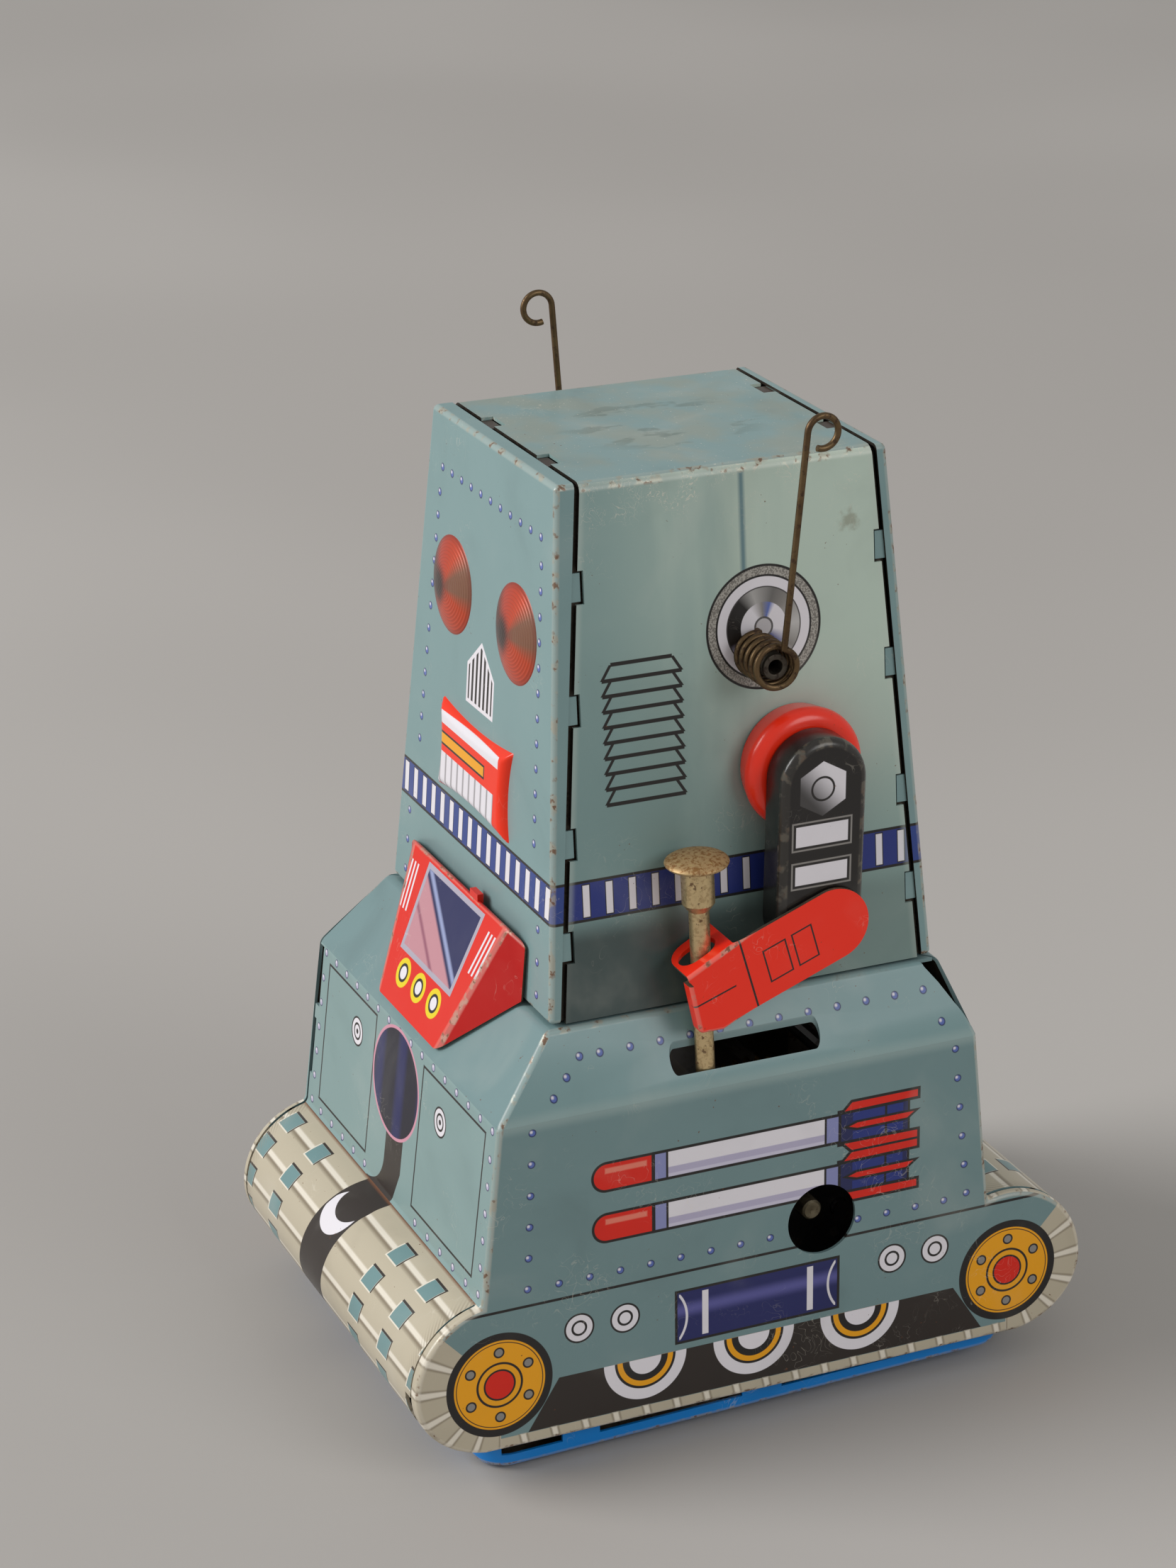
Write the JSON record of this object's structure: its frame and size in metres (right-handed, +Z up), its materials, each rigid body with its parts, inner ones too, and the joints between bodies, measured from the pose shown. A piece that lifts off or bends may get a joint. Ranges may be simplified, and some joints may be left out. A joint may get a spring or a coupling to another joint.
{
  "type": "wind-up tin robot tank toy",
  "caption": "Wind-up tin toy: a box-headed robot sits in a tracked hull, swinging its arms and levers as the clockwork turns the wheels; wire antennas spring at its sides.",
  "frame": {"origin": "on the ground under the middle of the toy's box", "axes": "+Z up, -Y is the way the robot looks, +X is the robot's left side"},
  "size_m": [0.0652, 0.0916, 0.1338],
  "materials": {
    "printed_tin": "lithographed tin, satin varnish, scuffed edges",
    "blue_tin": "blue enamel on tin",
    "red_tin": "red enamel on tin, chipped edges",
    "black_tin": "black enamel on tin",
    "dull_brass": "tarnished brass-plated rod",
    "spring_wire": "dark tarnished wire",
    "motor_steel": "plain mill finish",
    "gear_brass": "stamped brass",
    "wheel_tin": "dull grey tin"
  },
  "bodies": {
    "shell": {"hull_front_left_sheet": "printed_tin", "hull_rear_right_sheet": "printed_tin", "base_pan": "blue_tin", "head_wrap": "printed_tin", "face_tray": "printed_tin", "rear_tray": "printed_tin", "console_box": "red_tin", "shoulder_boss_left": "red_tin", "shoulder_boss_right": "red_tin", "antenna_stud_left": "spring_wire", "antenna_stud_right": "spring_wire", "motor_plate_left": "motor_steel", "motor_plate_right": "motor_steel", "pillar_upper_front": "motor_steel", "pillar_upper_rear": "motor_steel", "pillar_lower_rear": "motor_steel", "pillar_lower_front": "motor_steel", "mainspring": "motor_steel"},
    "lever_rocker": {"rocker_shaft": "motor_steel", "rocker_arm": "motor_steel", "lever_left": "dull_brass", "lever_right": "dull_brass"},
    "arm_left": {"upper_arm_left": "black_tin", "forearm_left": "red_tin", "shoulder_pin_left": "motor_steel"},
    "arm_right": {"upper_arm_right": "black_tin", "forearm_right": "red_tin", "shoulder_pin_right": "motor_steel"},
    "drive_shaft": {"drive_axle": "motor_steel", "drive_pinion": "gear_brass", "rear_wheel_left": "wheel_tin", "rear_wheel_right": "wheel_tin"},
    "second_shaft": {"second_arbor": "motor_steel", "second_pinion": "gear_brass", "second_wheel": "gear_brass", "crank_disc": "motor_steel"},
    "great_wheel_set": {"great_wheel": "gear_brass", "ratchet_click": "motor_steel"},
    "winding_shaft": {"winding_arbor": "motor_steel", "ratchet_wheel": "motor_steel"},
    "front_wheels": {"front_axle": "motor_steel", "front_wheel_left": "wheel_tin", "front_wheel_right": "wheel_tin"},
    "antenna_left": {"antenna_left": "spring_wire"},
    "antenna_right": {"antenna_right": "spring_wire"}
  },
  "joints": [
    {"name": "lever_rock", "type": "hinge", "parent": "shell", "child": "lever_rocker", "pos_m": [0, -0.0045, 0.009], "axis": [1, 0, 0], "range_deg": [-5.5, 3.5]},
    {"name": "arm_left_swing", "type": "hinge", "parent": "shell", "child": "arm_left", "pos_m": [0, 0.0074, 0.0843], "axis": [1, 0, 0], "range_deg": [-9.8, 15.4]},
    {"name": "arm_right_swing", "type": "hinge", "parent": "shell", "child": "arm_right", "pos_m": [0, 0.0074, 0.0843], "axis": [1, 0, 0], "range_deg": [-9.8, 15.4]},
    {"name": "drive_spin", "type": "hinge", "parent": "shell", "child": "drive_shaft", "pos_m": [0, 0.02, 0.0065], "axis": [1, 0, 0], "continuous": true},
    {"name": "second_spin", "type": "hinge", "parent": "shell", "child": "second_shaft", "pos_m": [0, 0.02018, 0.017], "axis": [1, 0, 0], "continuous": true},
    {"name": "great_spin", "type": "hinge", "parent": "shell", "child": "great_wheel_set", "pos_m": [0, 0.00841, 0.0263], "axis": [1, 0, 0], "continuous": true},
    {"name": "winding_spin", "type": "hinge", "parent": "shell", "child": "winding_shaft", "pos_m": [0, 0.00841, 0.0263], "axis": [1, 0, 0], "continuous": true},
    {"name": "front_spin", "type": "hinge", "parent": "shell", "child": "front_wheels", "pos_m": [0, -0.021, 0.0065], "axis": [1, 0, 0], "continuous": true},
    {"name": "antenna_left_flex", "type": "hinge", "parent": "shell", "child": "antenna_left", "pos_m": [0, 0.002, 0.0988], "axis": [1, 0, 0], "range_deg": [-15, 15], "stiffness_Nm_per_rad": 0.002},
    {"name": "antenna_right_flex", "type": "hinge", "parent": "shell", "child": "antenna_right", "pos_m": [0, 0.002, 0.0988], "axis": [1, 0, 0], "range_deg": [-15, 15], "stiffness_Nm_per_rad": 0.002}
  ],
  "couplings": [
    {"joint": "arm_left_swing", "follows": "lever_rock", "ratio": -2.8},
    {"joint": "arm_right_swing", "follows": "lever_rock", "ratio": -2.8},
    {"joint": "second_spin", "follows": "drive_spin", "ratio": -0.3125},
    {"joint": "great_spin", "follows": "drive_spin", "ratio": 0.078125}
  ]
}
